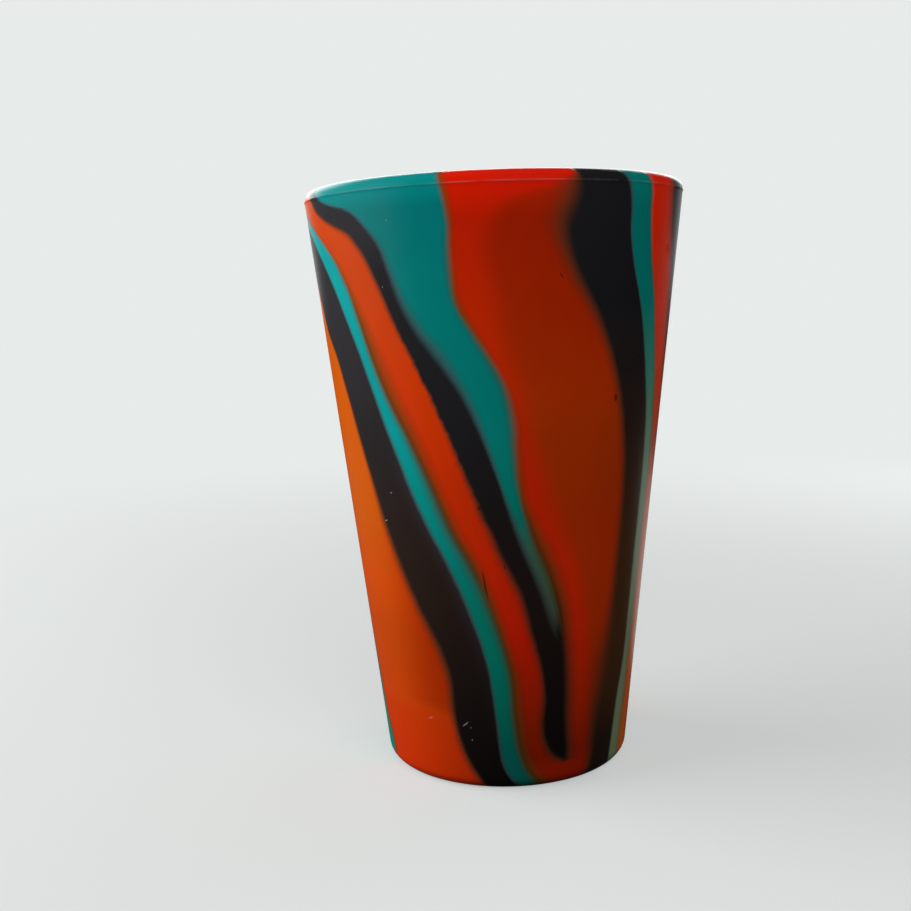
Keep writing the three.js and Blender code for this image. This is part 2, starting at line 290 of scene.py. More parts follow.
# Painted light and shade: how much lighter or darker a band's colour is made, as points of level and share of
# the colour, where it isn't even. Lighter towards the top, most on the left where the key light falls, with a
# painted sheen on the black bands there; darker towards the foot; lighter low on orange_band_4 as a painted
# reflection at the right edge. Only partly the bands' own depth of colour.
PAINTED_LIGHT_TONES = {
    "orange_band_1": [(70, 1.2), (34, 1.14), (27, 1)],
    "black_band_1": [(80, 5), (68, 4), (55, 2.6), (38, 1.6), (0, 0.6)],
    "teal_band_1": [(82, 1.5), (72, 1.4), (60, 1.5), (42, 1.17), (38, 1.04), (24, 1.02), (15, 0.88),
                    (8, 0.68)],
    "orange_band_2": [(84, 1), (66, 1.15), (48, 1.05), (28, 1.08), (10, 0.57), (6, 0.53), (3, 0.7)],
    "black_band_2": [(92, 4.6), (85, 2.9), (60, 2.3), (45, 1.5), (8, 0.7)],
    "teal_band_2": [(98, 1.1), (95, 0.83), (90, 0.84), (84, 0.93), (74, 0.95), (58, 1.08), (46, 1),
                    (38, 0.7)],
    "orange_band_3": [(97, 1.09), (93, 0.82), (78, 0.91), (67, 1.02), (60, 0.94), (50, 1), (40, 1.14),
                      (28, 1.19), (22, 1.07), (6, 0.57), (3, 0.7)],
    "black_band_3": [(100, 2.2), (75, 2), (60, 1.2), (40, 1)],
    "teal_band_3": [(98, 0.95), (94, 0.82), (72, 1.06), (60, 1.1)],
    "orange_band_4": [(70, 1.25), (55, 1.05), (30, 1.1), (15, 1.45)],
}
EVEN = [(100, 1)]
# Left limit of the part of an orange band that lies thin over black, as points of level and angle.
THIN_FROM = {
    "orange_band_1": [(100, -95), (80, -68), (67, -57), (55, -50), (45, -46), (35, -42), (25, -40), (17, -39),
                      (14.5, -37), (13, -20), (11, 20), (0, 30)],
    "orange_band_3": [(100, 24), (98, 20), (96, 7), (94.5, 2), (92, -1), (89, -2.5), (82, 0), (75, 2),
                      (68.5, 6), (58, 12), (46, 20.5), (34, 31), (28, 34), (17, 36), (0, 41)],
    "orange_band_5": [(100, 116), (80, 110), (55, 117), (30, 128), (12, 140), (0, 150)],
    "orange_band_6": [(100, 176), (75, 176), (50, 186), (30, 202), (12, 220), (0, 232)],
}
# Width of that limit, as points of level and millimetres.
THIN_SOFTNESS = {
    "orange_band_1": [(45, 8), (30, 16)],
    "orange_band_3": [(45, 7), (20, 4.5), (0, 4)],
}
SOFT = [(100, 7)]
# Share of slate haze that a teal edge leaves in the black beside it, as points of level and share.
GLOW = {("teal_band_1", "left"): [(62, 0), (52, 0.26), (30, 0.26), (18, 0.1), (8, 0)]}
GLOW_REACH = 2.4  # Distance in millimetres over which that haze dies out

# Small marks on the wall, by the band's colour: angle in degrees, height, length and width in millimetres,
# and slant from upright in degrees.
PALE_MARKS = {
    "black": [
        (-17.5, 17.2, 2.2, 0.35, -50), (-21.3, 13.3, 0.9, 0.5, 0), (-15, 13.2, 0.5, 0.3, -30),
        (-15.2, 16.4, 0.4, 0.25, 20), (-45.5, 66.7, 1.2, 0.3, -70), (-34.3, 121.8, 0.4, 0.25, 0),
        (-41, 73.8, 0.7, 0.3, -60),
    ],
    "orange": [(-34, 17.5, 1.4, 0.3, -60)],
    "teal": [(-30.5, 136.3, 0.4, 0.2, 20)],
}
DARK_MARKS = {
    "black": [],
    "orange": [
        (-6.5, 52.8, 7.6, 0.5, 9), (-6.4, 71.4, 1.4, 2.4, 15), (0.7, 57, 1.6, 0.35, 8),
        (19, 123, 1.6, 0.35, 35), (40.5, 95, 2, 1, 0),
    ],
    "teal": [(48, 118, 0.6, 0.3, -20)],
}
MARK_EDGE = (1.15, 0.5)  # Where a mark has no effect and its whole effect, as shares of its half size
MARK_SHARE = 0.75

# Scales of the noise in the silicone, in waves to the metre, and how strongly it works.
RIPPLE_SCALE, FINE_RIPPLE_SCALE = 240, 800
DRIFT_SCALE, DRIFT = 38, 0.16
RUBBED_AND_HIGHLIT_SCALE, RUBBED_AND_HIGHLIT_SHARE = 140, 0.1
GLOSS_SCALE, GLOSS_CHANGE = 90, 0.12
GRAIN_SCALE, COARSE_GRAIN_SCALE = 2600, 420
GRAIN_DEPTH, GRAIN_STRENGTH = 0.00004, 0.12
SILICONE_IOR, SPECULAR_LEVEL = 1.41, 0.2


class CupSizes(bpy.types.PropertyGroup):
    """Sizes of the cup's section, as the CAD source has them."""

    height: FloatProperty(
        name="Height", description="Table to the crown of the lip", default=CAD_BOX[1].z - CAD_BOX[0].z,
        subtype="DISTANCE")
    rim_diameter: FloatProperty(
        name="Rim Diameter", description="Outside of the straight wall at the crown's height",
        default=0.095, subtype="DISTANCE")
    foot_diameter: FloatProperty(
        name="Foot Diameter", description="Outside of the straight wall at the table", default=0.062,
        subtype="DISTANCE")
    wall: FloatProperty(
        name="Wall", description="Thickness square to the wall", default=0.0048, subtype="DISTANCE")
    floor: FloatProperty(
        name="Floor", description="Table to the inside of the base", default=0.006, subtype="DISTANCE")
    foot_rounding: FloatProperty(
        name="Foot Rounding", description="Radius between the wall and the foot", default=0.0035,
        subtype="DISTANCE")
    floor_fillet: FloatProperty(
        name="Floor Fillet", description="Inside radius between the wall and the floor", default=0.005,
        subtype="DISTANCE")
    foot_ring: FloatProperty(
        name="Foot Ring", description="Width of the flat ring that the cup stands on", default=0.0045,
        subtype="DISTANCE")
    recess_depth: FloatProperty(
        name="Recess Depth", description="Depth of the hollow in the underside", default=0.0008,
        subtype="DISTANCE")
    recess_slope: FloatProperty(
        name="Recess Slope", description="Width of the slope into the recess", default=0.0012,
        subtype="DISTANCE")
    line_drop: FloatProperty(
        name="Mould Line Drop", description="Crown of the lip to the mould's parting line",
        default=0.0027, subtype="DISTANCE")
    line_width: FloatProperty(
        name="Mould Line Width", description="Width of the raised parting line", default=0.0007,
        subtype="DISTANCE")
    line_height: FloatProperty(
        name="Mould Line Height", description="How far the parting line stands out", default=0.00012,
        subtype="DISTANCE", precision=5)
    seam_lean: FloatProperty(
        name="Seam Lean", description="Turn of a seam from the outside to the inside",
        default=math.radians(5), subtype="ANGLE")


class SiliconeColours(bpy.types.PropertyGroup):
    """Colours and finish of the silicone compounds."""

    orange: FloatVectorProperty(
        name="Orange", description="Orange compound at full depth", default=(0.66, 0.074, 0.003), size=3,
        subtype="COLOR", min=0, max=1)
    # Red-orange is partly the compound's own hue and partly painted shade, where REDNESS leans to it.
    red_orange: FloatVectorProperty(
        name="Red-orange", description="Orange compound where it is deepest",
        default=(0.78, 0.0105, 0.001), size=3, subtype="COLOR", min=0, max=1)
    thin_orange: FloatVectorProperty(
        name="Thin orange", description="Orange compound where it lies thin over black",
        default=(0.54, 0.0365, 0.001), size=3, subtype="COLOR", min=0, max=1)
    thin_red: FloatVectorProperty(
        name="Thin red", description="Orange compound where it lies thin over black and is reddest",
        default=(0.52, 0.0175, 0.001), size=3, subtype="COLOR", min=0, max=1)
    black: FloatVectorProperty(
        name="Black", description="Black compound", default=(0.0070, 0.0069, 0.0080), size=3,
        subtype="COLOR", min=0, max=1)
    teal: FloatVectorProperty(
        name="Teal", description="Teal compound", default=(0.002, 0.265, 0.272), size=3, subtype="COLOR",
        min=0, max=1)
    deep_teal: FloatVectorProperty(
        name="Deep teal", description="Teal compound where it is greenest", default=(0.001, 0.265, 0.165),
        size=3, subtype="COLOR", min=0, max=1)
    # Olive is partly teal thin over orange and, low on teal_band_3, partly a painted pale reflection.
    olive: FloatVectorProperty(
        name="Olive", description="Teal compound where it lies thin over orange",
        default=(0.26, 0.34, 0.18), size=3, subtype="COLOR", min=0, max=1)
    # Brown is partly orange showing through black and, low on black_band_3, a painted warm reflection.
    brown: FloatVectorProperty(
        name="Brown", description="Black compound where orange shows through it",
        default=(0.09, 0.033, 0.009), size=3, subtype="COLOR", min=0, max=1)
    moss: FloatVectorProperty(
        name="Moss", description="Haze where teal and orange thin out into each other",
        default=(0.075, 0.070, 0.006), size=3, subtype="COLOR", min=0, max=1)
    slate: FloatVectorProperty(
        name="Slate", description="Haze where teal thins out over black", default=(0.06, 0.056, 0.076),
        size=3, subtype="COLOR", min=0, max=1)
    umber: FloatVectorProperty(
        name="Umber", description="Haze where orange thins out over black", default=(0.03, 0.034, 0.016),
        size=3, subtype="COLOR", min=0, max=1)
    # The parting line's pale tint is partly rubbed silicone and partly a painted highlight along the line.
    rubbed_and_highlit: FloatVectorProperty(
        name="Rubbed", description="Pale bloom where the mould's parting line is rubbed",
        default=(0.55, 0.55, 0.52), size=3, subtype="COLOR", min=0, max=1)
    dust: FloatVectorProperty(
        name="Dust", description="Pale dust and scuffs on the wall", default=(0.42, 0.40, 0.38), size=3,
        subtype="COLOR", min=0, max=1)
    scuff: FloatVectorProperty(
        name="Scuff", description="Dark scratches and smudges on the wall", default=(0.02, 0.005, 0.004),
        size=3, subtype="COLOR", min=0, max=1)
    roughness: FloatProperty(
        name="Roughness", description="Mean roughness of the moulded skin", default=0.3, min=0, max=1,
        subtype="FACTOR")


class StageSettings(bpy.types.PropertyGroup):
    """Floor, light and camera round the cup."""

    floor_colour: FloatVectorProperty(
        name="Floor", description="Colour of the floor and the backdrop", default=(0.80, 0.83, 0.82),
        size=3, subtype="COLOR", min=0, max=1)
    bounce_colour: FloatVectorProperty(
        name="Bounce", description="Colour of the floor to light that it sends back to the cup",
        default=(0.05, 0.05, 0.05), size=3, subtype="COLOR", min=0, max=1)
    key_power: FloatProperty(
        name="Key", description="Power of the large soft light on the left", default=5.4, unit="POWER")
    front_power: FloatProperty(
        name="Front", description="Power of the soft light above the front", default=0.32, unit="POWER")
    rim_power: FloatProperty(
        name="Rim", description="Power of the soft light behind on the right", default=2.2, unit="POWER")
    strip_power: FloatProperty(
        name="Strip", description="Power of the strip behind the cup, which only the lip mirrors",
        default=8.9, unit="POWER")
    fill: FloatProperty(
        name="Fill", description="Strength of the even light from overhead", default=0.3, min=0)
    reflected: FloatProperty(
        name="Reflected", description="Share of the backdrop that shows in the skin away from the back",
        default=0.04, min=0, max=1, subtype="FACTOR")
    lens: FloatProperty(
        name="Lens", description="Focal length of the camera", default=45.58, unit="CAMERA")


class Field:
    """A number in a node tree. Arithmetic on it adds Math nodes."""

    def __init__(self, tree, socket):
        self.tree = tree
        self.socket = socket

    def math(self, operation, *others):
        """The result of one Math node on this number and the others."""
        node = self.tree.nodes.new("ShaderNodeMath")
        node.operation = operation
        for socket, value in zip(node.inputs, (self, *others)):
            feed(self.tree, socket, value)
        return Field(self.tree, node.outputs[0])

    def __add__(self, other):
        return self.math("ADD", other)

    def __sub__(self, other):
        return self.math("SUBTRACT", other)

    def __mul__(self, other):
        return self.math("MULTIPLY", other)

    def __truediv__(self, other):
        return self.math("DIVIDE", other)

    def above(self, other):
        """1 where this number is greater than the other, else 0."""
        return self.math("GREATER_THAN", other)

    def blend(self, other, share):
        """This number where share is 0, the other where it is 1."""
        return self + (other - self) * share

    def eased(self, low, high):
        """0 below low, 1 above high, and smooth in between."""
        node = self.tree.nodes.new("ShaderNodeMapRange")
        node.interpolation_type = "SMOOTHSTEP"
        feed(self.tree, node.inputs["Value"], self)
        feed(self.tree, node.inputs["From Min"], low)
        feed(self.tree, node.inputs["From Max"], high)
        return Field(self.tree, node.outputs["Result"])


def feed(tree, socket, value):
    """Links an output or a Field into a socket, or sets a plain value on it."""
    if isinstance(value, Field):
        value = value.socket
    if isinstance(value, bpy.types.NodeSocket):
        tree.links.new(value, socket)
    else:
        socket.default_value = value


def add(tree, kind, inputs=None, **settings):
    """Adds a node with its settings and inputs."""
    node = tree.nodes.new(kind)
    for name, value in settings.items():
        setattr(node, name, value)
    for name, value in (inputs or {}).items():
        feed(tree, node.inputs[name], value)
    return node


def clear_tree(block):
    """The node tree of a material or a world, emptied."""
    block.use_nodes = True
    block.node_tree.nodes.clear()
    return block.node_tree


def split(tree, vector):
    """The three numbers of a vector."""
    node = add(tree, "ShaderNodeSeparateXYZ", {"Vector": vector})
    return [Field(tree, socket) for socket in node.outputs]


def magnitude(tree, vector):
    """The length of a vector."""
    return Field(tree, add(tree, "ShaderNodeVectorMath", {0: vector}, operation="LENGTH").outputs["Value"])


def mix(tree, a, b, share):
    """Colour a where the share is 0, colour b where it is 1."""
    return add(tree, "ShaderNodeMix", {0: share, 6: a, 7: b}, data_type="RGBA").outputs[2]


def lay_out(tree):
    """Sets a tree's nodes out in rows, in the order in which they were made."""
    for i, node in enumerate(tree.nodes):
        node.location = (220 * (i % 10), -260 * (i // 10))


def curve(path, level):
    """A smooth curve through the points of a path, read at a level."""
    last = len(path) - 1

    def slope(i):
        return (path[i + 1][1] - path[i][1]) / (path[i + 1][0] - path[i][0])

    def tangent(i):
        if i == 0:
            return slope(0)
        if i == last:
            return slope(last - 1)
        before = path[i][0] - path[i - 1][0]
        after = path[i + 1][0] - path[i][0]
        return (slope(i - 1) * after + slope(i) * before) / (before + after)

    i = 0
    while i < last - 1 and level < path[i + 1][0]:
        i += 1
    span = path[i + 1][0] - path[i][0]
    u = (level - path[i][0]) / span
    rise = path[i + 1][1] - path[i][1]
    bend = tangent(i) * (1 - u) - tangent(i + 1) * u
    return path[i][1] + rise * u * u * (3 - 2 * u) + span * u * (1 - u) * bend


def straight(path, levels):
    """Straight lines through the points of a path, read at many levels."""
    points = np.array(path, float)[::-1]
    return np.interp(levels, points[:, 0], points[:, 1])


def seam_angles(levels):
    """Angle of every seam at every level, in degrees, from the first band's left seam round to itself."""
    turned = dict(BANDS[0], path=[(level, angle + 360) for level, angle in BANDS[0]["path"]])
    rows = []
    for band in BANDS[1:] + [turned]:
        closes = band.get("closes")
        if closes is None:
            rows.append([curve(band["path"], level) for level in levels])
            continue
        before = rows[-1]
        tip = float(np.interp(-closes, -np.array(levels), before))
        path = band["path"] + [(closes, tip)]
        rows.append([
            curve(path, level) if level > closes + CLOSED else angle for level, angle in zip(levels, before)
        ])
    return np.array([[angle - 360 for angle in rows[-1]], *rows])


class Section:
    """The cup's section as matching stations down the outside and the inside, from the crown to the axis.

    outer and inner hold a station's height; below 0 on the outside, and below the floor on the inside, the
    number goes on falling at the same rate as the station nears the axis.
    """

    def __init__(self, sizes):
        lean = math.atan2((sizes.rim_diameter - sizes.foot_diameter) / 2, sizes.height)
        half = sizes.wall / 2
        lip = sizes.height - half
        fillet = sizes.floor + sizes.floor_fillet
        self.height = sizes.height
        self.lean = lean
        self.foot_radius = sizes.foot_diameter / 2
        self.standing = self.foot_radius + sizes.foot_rounding * (math.tan(lean) - 1 / math.cos(lean))
        floor_edge = (
            self.foot_radius + fillet * math.tan(lean) - (sizes.wall + sizes.floor_fillet) / math.cos(lean)
        )

        outer_lip = lip + half * np.sin(np.linspace(math.pi / 2, -lean, LIP_STEPS))
        inner_lip = lip + half * np.sin(np.linspace(math.pi / 2, lean, LIP_STEPS))
        top, bottom = outer_lip[-1], sizes.foot_rounding * (1 - math.sin(lean))
        line = sizes.height - sizes.line_drop
        tips = [band["closes"] * sizes.height / 100 for band in BANDS if band.get("closes", -1) > 0]
        wall = np.concatenate([
            np.linspace(top, bottom, WALL_STEPS),
            line + sizes.line_width * np.linspace(-0.5, 0.5, LINE_STEPS),
            tips,
        ])
        wall = np.unique(wall[(wall <= top) & (wall >= bottom)].round(9))[::-1]
        share = (top - wall) / (top - bottom)
        inner_wall = inner_lip[-1] + share * (fillet - sizes.floor_fillet * math.sin(lean) - inner_lip[-1])
        low = np.linspace(-lean, -math.pi / 2, ROUND_STEPS)[1:]
        tips = [-band["closes"] * sizes.height / 100 / self.standing
                for band in BANDS if band.get("closes", 1) < 0]
        ring = sizes.foot_ring / self.standing
        slope = sizes.recess_slope / self.standing
        base = np.concatenate([
            np.linspace(0, 1, BASE_STEPS), ring + slope * np.linspace(0, 1, SLOPE_STEPS), tips])
        base = np.unique(base.round(9))[1:]

        self.outer = np.concatenate([
            outer_lip[:-1], wall, sizes.foot_rounding * (1 + np.sin(low)), -self.standing * base])
        self.inner = np.concatenate([
            inner_lip[:-1], inner_wall, fillet + sizes.floor_fillet * np.sin(low),
            sizes.floor - floor_edge * base])
        self.levels = 100 * self.outer / sizes.height
        self.lap = np.minimum(1, np.arange(len(self.outer)) / (len(outer_lip) - 1)) * sizes.seam_lean

    def radius(self):
        """Outside radius at every station, without the roundings."""
        return np.where(
            self.outer > 0, self.foot_radius + self.outer * math.tan(self.lean), self.standing + self.outer)


def wrap_tree(sizes):
    """Node tree that wraps a flat band round the cup: x is the angle, y the station, z 1 on the inside."""
    tree = bpy.data.node_groups.new("Wrap band round cup", "GeometryNodeTree")
    tree.interface.new_socket("Band", in_out="INPUT", socket_type="NodeSocketGeometry")
    names = {}
    for name, prop in sizes.bl_rna.properties.items():
        if prop.type == "FLOAT" and name != "seam_lean":
            socket = tree.interface.new_socket(prop.name, in_out="INPUT", socket_type="NodeSocketFloat")
            socket.subtype = "DISTANCE"
            socket.default_value = getattr(sizes, name)
            names[name] = prop.name
    tree.interface.new_socket("Material", in_out="INPUT", socket_type="NodeSocketMaterial")
    tree.interface.new_socket("Band", in_out="OUTPUT", socket_type="NodeSocketGeometry")

    given = add(tree, "NodeGroupInput")
    size = {name: Field(tree, given.outputs[label]) for name, label in names.items()}
    angle, station, inside = split(tree, add(tree, "GeometryNodeInputPosition").outputs[0])

    slope = (size["rim_diameter"] - size["foot_diameter"]) / 2 / size["height"]
    secant = (slope * slope + 1).math("SQRT")
    sine = slope / secant

    def wall_line(z):
        return size["foot_diameter"] / 2 + z * slope

    def arc(z, centre, radius):
        """Half width of a round of that radius at a height."""
        rise = z - centre
        return (radius * radius - rise * rise).math("MAXIMUM", 0).math("SQRT")

    half = size["wall"] / 2
    lip_z = size["height"] - half
    lip_r = wall_line(lip_z) - half * secant
    foot_r = wall_line(size["foot_rounding"]) - size["foot_rounding"] * secant
    fillet_z = size["floor"] + size["floor_fillet"]
    fillet_r = wall_line(fillet_z) - (size["wall"] + size["floor_fillet"]) * secant

    # Outside: lip, wall with the mould's parting line, foot rounding, then the underside with its recess
    z = station.math("MAXIMUM", 0)
    off_line = (z - size["height"] + size["line_drop"]) / size["line_width"] * 2
    bead = (off_line * off_line * -1 + 1).math("MAXIMUM", 0)
    r = wall_line(z) + bead * bead * size["line_height"]
    r = r.blend(lip_r + arc(z, lip_z, half), z.above(lip_z - half * sine))
    r = (foot_r + arc(z, size["foot_rounding"], size["foot_rounding"])).blend(
        r, z.above(size["foot_rounding"] - size["foot_rounding"] * sine))
    outer_r = r + station.math("MINIMUM", 0)
    recess = (foot_r - size["foot_ring"] - outer_r).eased(0, size["recess_slope"])
    outer_z = z + recess * size["recess_depth"] * (station * -1).above(0)

    # Inside: lip, wall, fillet, then the floor
    z = station.math("MAXIMUM", size["floor"])
    r = (wall_line(z) - size["wall"] * secant).blend(
        lip_r - arc(z, lip_z, half), z.above(lip_z + half * sine))
    r = (fillet_r + arc(z, fillet_z, size["floor_fillet"])).blend(
        r, z.above(fillet_z - size["floor_fillet"] * sine))
    inner_r = r + (station - size["floor"]).math("MINIMUM", 0)

    radius = outer_r.blend(inner_r, inside).math("MAXIMUM", 0)
    height = outer_z.blend(z, inside)
    wrapped = add(tree, "ShaderNodeCombineXYZ", {
        "X": radius * angle.math("SINE"), "Y": radius * angle.math("COSINE") * -1, "Z": height})
    skin = add(tree, "GeometryNodeSetPosition", {
        "Geometry": given.outputs["Band"], "Position": wrapped.outputs[0]})
    welded = add(tree, "GeometryNodeMergeByDistance", {"Geometry": skin.outputs[0], "Distance": WELD})
    smooth = add(tree, "GeometryNodeSetShadeSmooth", {"Geometry": welded.outputs[0], "Shade Smooth": True})
    corner = Field(tree, add(tree, "GeometryNodeInputMeshEdgeAngle").outputs["Unsigned Angle"])
    creased = add(tree, "GeometryNodeSetShadeSmooth", {
        "Geometry": smooth.outputs[0], "Selection": corner.above(CREASE), "Shade Smooth": False,
    }, domain="EDGE")
    real = add(tree, "GeometryNodeRealizeInstances", {"Geometry": creased.outputs[0]})
    dressed = add(tree, "GeometryNodeSetMaterial", {
        "Geometry": real.outputs[0], "Material": given.outputs["Material"]})
    add(tree, "NodeGroupOutput", {"Band": dressed.outputs[0]})
    lay_out(tree)
    return tree


def flat_band(name, section, left, right):
    """A band's closed skin, laid flat: angle across, station down, and the inside one unit behind."""
    closed = right - left <= CLOSED
    rows = int(np.argmax(closed)) + 1 if closed.any() else len(left)
    columns = max(2, math.ceil((right - left).max() / COLUMN))
    share = np.linspace(0, 1, columns + 1)
    angle = np.radians(left[:rows, None] * (1 - share) + right[:rows, None] * share)
    whole = np.ones_like(angle)
    outside = np.stack([angle, section.outer[:rows, None] * whole, 0 * whole], -1)
    inside = np.stack([angle + section.lap[:rows, None], section.inner[:rows, None] * whole, whole], -1)

    at = np.arange(rows * (columns + 1)).reshape(rows, columns + 1)
    back = at + at.size

    def quads(a, b, c, d):
        return np.stack([a.ravel(), b.ravel(), c.ravel(), d.ravel()], -1)

    faces = np.concatenate([
        quads(at[:-1, :-1], at[1:, :-1], at[1:, 1:], at[:-1, 1:]),
        quads(back[:-1, :-1], back[:-1, 1:], back[1:, 1:], back[1:, :-1]),
        quads(at[:-1, 0], back[:-1, 0], back[1:, 0], at[1:, 0]),
        quads(at[:-1, -1], at[1:, -1], back[1:, -1], back[:-1, -1]),
    ])
    mesh = bpy.data.meshes.new(name)
    mesh.from_pydata(np.concatenate([outside, inside]).reshape(-1, 3).tolist(), [], faces.tolist())
    return mesh, np.degrees(angle), rows


def mixed(a, b, share):
    """a where the share is 0, b where it is 1."""
    return a * (1 - share) + np.array(b) * share


def smooth(share):
    """Eases a share in and out."""
    return share * share * (3 - 2 * share)


def from_seam(section, angle, rows, seam):
    """Distance of a band's outside points from a seam, along the surface, in millimetres."""
    radius = section.radius() * 1000
    length = section.outer / math.cos(section.lean) * 1000
    fine = np.linspace(length[0], length[-1], SEAM_STEPS)
    track = np.interp(-fine, -length, seam)
    out = np.empty_like(angle)
    for k in range(rows):
        near = np.abs(fine - length[k]) < SEAM_REACH
        across = np.radians(angle[k][:, None] - track[near]) * radius[k]
        out[k] = np.sqrt(across**2 + (fine[near] - length[k]) ** 2).min(1)
    return out


def compound(node, section, angle, levels, colours):
    """A band's silicone colour with its painted light and shade, by level (down) and angle (across)."""
    colour = node.split("_")[0]
    shade = np.array(getattr(colours, colour)) * np.ones((*angle.shape, 1))
    # Some of these leans are painted light and shade: REDNESS's red and yellow leans, WARMTH's brown low on
    # black_band_3, and OLIVENESS's olive low on teal_band_3.
    for leans, tint in ((REDNESS, colours.red_orange), (WARMTH, colours.brown), (DEPTH, colours.deep_teal),
                        (OLIVENESS, colours.olive)):
        shade = mixed(shade, tint, straight(leans.get(node, NONE), levels)[:, None, None])
    if node in THIN_FROM:
        edge = np.array([curve(THIN_FROM[node], max(level, 0)) for level in levels])
        beyond = np.radians(angle - edge[:, None]) * section.radius()[:len(levels), None] * 1000
        softness = straight(THIN_SOFTNESS.get(node, SOFT), levels)[:, None]
        thin = smooth(np.clip(beyond / softness + 0.5, 0, 1))[..., None]
        redness = straight(THIN_REDNESS.get(node, NONE), levels)[:, None, None]
        film = mixed(np.array(colours.thin_orange), colours.thin_red, redness)
        shade = mixed(shade, film, thin)
    # Last comes the painted light and shade: the colour is made lighter or darker by level.
    return shade * straight(PAINTED_LIGHT_TONES.get(node, EVEN), levels)[:, None, None]


def fade(node, side, levels):
    """Start and end of a compound's fade at one edge of its band, in columns."""
    points = np.array(FADES.get((node, side), FADE[node.split("_")[0], side]), float)[::-1]
    return [np.interp(levels, points[:, 0], points[:, column])[:, None] for column in (1, 2)]


def faded_in(node, side, inside, levels):
    """How far a compound has come in at a distance inside one edge: 0 to 1, and past both for the waver."""
    start, end = fade(node, side, levels)
    return np.clip((inside - start) / (end - start), -OVERRUN, 1 + OVERRUN)


def waver(node, side, levels):
    """How far a compound's edge wavers, as a share of its fade."""
    start, end = fade(node, side, levels)
    return straight(RAGGED.get((node, side), SMOOTH), levels)[:, None] / (end - start)


def haze(pair, colours):
    """The haze between two compounds."""
    if "black" not in pair:
        return colours.moss
    return colours.slate if "teal" in pair else colours.umber


def neighbour(index, step, widths):
    """The next band on one side that still has some width."""
    i = (index + step) % len(BANDS)
    while widths[i] <= NO_WIDTH and i != index:
        i = (i + step) % len(BANDS)
    return i


def put(mesh, name, values):
    """Writes numbers or colours to a band's points, the same on the inside as on the outside."""
    if values.ndim == 2:
        kind, field = "FLOAT", "value"
    else:
        kind, field = "FLOAT_COLOR", "color"
        if values.shape[-1] == 3:
            values = np.concatenate([values, np.ones((*values.shape[:-1], 1))], -1)
    attribute = mesh.attributes.new(name, kind, "POINT")
    attribute.data.foreach_set(field, np.tile(values.ravel(), 2).astype(np.float32))


def marble(mesh, index, section, seams, angle, rows, colours):
    """Writes to a band's mesh its own colour, its neighbours', and how far each has come in at a point."""
    node = NODES[index]
    colour = node.split("_")[0]
    levels = section.levels[:rows]
    width = np.radians(np.diff(seams, axis=0)) * section.radius() * 1000
    fullness = np.clip(width / TAIL, 0, 1)
    own = compound(node, section, angle, levels, colours)
    grounds, hazes = [], []
    for side, facing, step, seam in (
        ("left", "right", -1, seams[index]), ("right", "left", 1, seams[index + 1]),
    ):
        inside = from_seam(section, angle, rows, seam)
        own_share = np.ones_like(angle)
        ragged = np.zeros_like(angle)
        if colour != "black":
            own_share = faded_in(node, side, inside, levels) * fullness[index, :rows, None]
            ragged = waver(node, side, levels) * np.ones_like(angle)
        other_share = np.full_like(angle, -1.0)
        tint = np.ones((*angle.shape, 4))
        ground = np.array(colours.black) * np.ones((rows, 1, 1))
        mist = np.empty((rows, 1, 3))
        for k in range(rows):
            i = neighbour(index, step, width[:, k])
            beside = NODES[i]
            row = slice(k, k + 1)
            shade = compound(beside, section, seam[row, None], levels[row], colours)
            mist[k] = haze((colour, beside.split("_")[0]), colours)
            if beside.startswith(colour):
                own_share[k] = 1
            elif beside.startswith("black"):
                ground[k] = shade
            else:
                if (beside, facing) in GLOW:
                    nearness = np.exp(-(inside[k, :, None] / GLOW_REACH) ** 2)
                    glow = straight(GLOW[beside, facing], levels[k]) * nearness
                    own[k] = mixed(own[k], colours.slate, glow)
                come_in = faded_in(beside, side, width[i, row, None], levels[row])
                reach = np.clip(come_in, 0, 1) * fullness[i, k]
                tint[k, :, :3] = shade
                tint[k, :, 3] = smooth(reach)
                mist[k] = mixed(np.array(colours.umber), mist[k], reach)
                other_share[k] = faded_in(beside, facing, -inside[row], levels[row])
                if colour == "black":
                    ragged[k] = waver(beside, facing, levels[row])
        put(mesh, f"own_{side}", own_share)
        put(mesh, f"{side}_over", other_share)
        put(mesh, f"{side}_waver", ragged)
        put(mesh, f"{side}_compound", tint)
        grounds.append(ground)
        hazes.append(mist)
    across = np.linspace(0, 1, angle.shape[1])[None, :, None]
    put(mesh, "compound", own)
    put(mesh, "ground", own if colour == "black" else mixed(*grounds, across))
    put(mesh, "haze", mixed(*hazes, across))


def read(tree, name):
    """Node that reads what marble wrote to the points."""
    return add(tree, "ShaderNodeAttribute", attribute_name=name)


def number(tree, name):
    """A number that marble wrote to the points."""
    return Field(tree, read(tree, name).outputs["Fac"])


def noise(tree, place, scale, detail=3.0, roughness=0.5):
    """Soft noise between 0 and 1."""
    return Field(tree, add(tree, "ShaderNodeTexNoise", {
        "Vector": place, "Scale": scale, "Detail": detail, "Roughness": roughness}).outputs["Fac"])


def scaled(tree, tint, share):
    """A share of a colour."""
    return add(tree, "ShaderNodeVectorMath", {0: tint, "Scale": share}, operation="SCALE").outputs[0]


def round_axis(tree, place):
    """Angle round the cup's axis, distance from it, and height."""
    x, y, z = split(tree, place)
    return x.math("ARCTAN2", y * -1), (x * x + y * y).math("SQRT"), z


